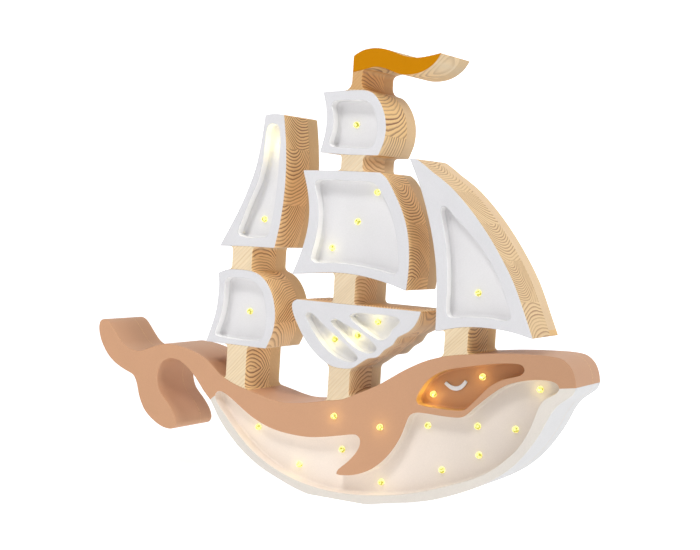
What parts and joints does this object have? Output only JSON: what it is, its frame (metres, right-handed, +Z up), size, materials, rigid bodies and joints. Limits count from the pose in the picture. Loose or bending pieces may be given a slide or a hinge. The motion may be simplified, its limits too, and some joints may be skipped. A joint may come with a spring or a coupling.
{
  "type": "sailing ship night lamp",
  "caption": "Free-standing wooden night lamp shaped like a sailing ship on a whale hull, with small LEDs set in recessed sails and belly and a push button at the back.",
  "frame": {"origin": "middle of the flat base under the hull, midway in width and depth", "axes": "+X towards the bow (right seen from the front), +Y towards the back, +Z up"},
  "size_m": [0.455, 0.0582, 0.3686],
  "materials": {
    "brown_hull_paint": "matte water-based paint over pine: tan brown above, cream white in and under the belly",
    "white_eyelid_paint": "matte white paint",
    "natural_pine": "bare oiled pine with dark growth rings",
    "white_sail_paint": "matte white paint on pine, the edges left bare",
    "ochre_pennant_paint": "matte ochre paint on the front face, the edges bare pine",
    "amber_led_lens": "clear epoxy lens, lit warm yellow",
    "wire_insulation": "PVC insulation",
    "black_cover_plastic": "textured",
    "zinc_screw": "zinc plated",
    "black_holder_plastic": "moulded",
    "cell_wrapper": "plain printed sleeve, no marks",
    "green_circuit_board": "solder mask",
    "black_switch_plastic": "moulded",
    "red_button_plastic": "moulded"
  },
  "bodies": {
    "lamp": {"battery_cell_1": "cell_wrapper", "battery_cell_2": "cell_wrapper", "battery_cell_3": "cell_wrapper", "battery_cover": "black_cover_plastic", "battery_holder": "black_holder_plastic", "bow_harness": "wire_insulation", "control_board": "green_circuit_board", "cover_screw_1": "zinc_screw", "cover_screw_2": "zinc_screw", "cover_screw_3": "zinc_screw", "cover_screw_4": "zinc_screw", "eyelid": "white_eyelid_paint", "fan_sail": "white_sail_paint", "fore_harness": "wire_insulation", "fore_mast": "natural_pine", "hull_front": "brown_hull_paint", "hull_rear": "brown_hull_paint", "jib_sail": "white_sail_paint", "led_fan_sail_1": "amber_led_lens", "led_fan_sail_2": "amber_led_lens", "led_fan_sail_3": "amber_led_lens", "led_hull_front_1": "amber_led_lens", "led_hull_front_10": "amber_led_lens", "led_hull_front_11": "amber_led_lens", "led_hull_front_12": "amber_led_lens", "led_hull_front_13": "amber_led_lens", "led_hull_front_14": "amber_led_lens", "led_hull_front_2": "amber_led_lens", "led_hull_front_3": "amber_led_lens", "led_hull_front_4": "amber_led_lens", "led_hull_front_5": "amber_led_lens", "led_hull_front_6": "amber_led_lens", "led_hull_front_7": "amber_led_lens", "led_hull_front_8": "amber_led_lens", "led_hull_front_9": "amber_led_lens", "led_jib_sail_1": "amber_led_lens", "led_main_sail_1": "amber_led_lens", "led_main_sail_2": "amber_led_lens", "led_main_sail_3": "amber_led_lens", "led_mizzen_lower_sail_1": "amber_led_lens", "led_mizzen_upper_sail_1": "amber_led_lens", "led_mizzen_upper_sail_2": "amber_led_lens", "led_top_sail_1": "amber_led_lens", "main_harness": "wire_insulation", "main_mast": "natural_pine", "main_sail": "white_sail_paint", "mizzen_harness": "wire_insulation", "mizzen_lower_sail": "white_sail_paint", "mizzen_mast": "natural_pine", "mizzen_upper_sail": "white_sail_paint", "pennant": "ochre_pennant_paint", "stern_harness": "wire_insulation", "switch_body": "black_switch_plastic", "top_sail": "white_sail_paint"},
    "button": {"power_button": "red_button_plastic"}
  },
  "joints": [
    {"name": "button_press", "type": "slide", "parent": "lamp", "child": "button", "axis": [0, -1, 0], "range_m": [0, 0.0015], "stiffness_N_per_m": 900}
  ]
}
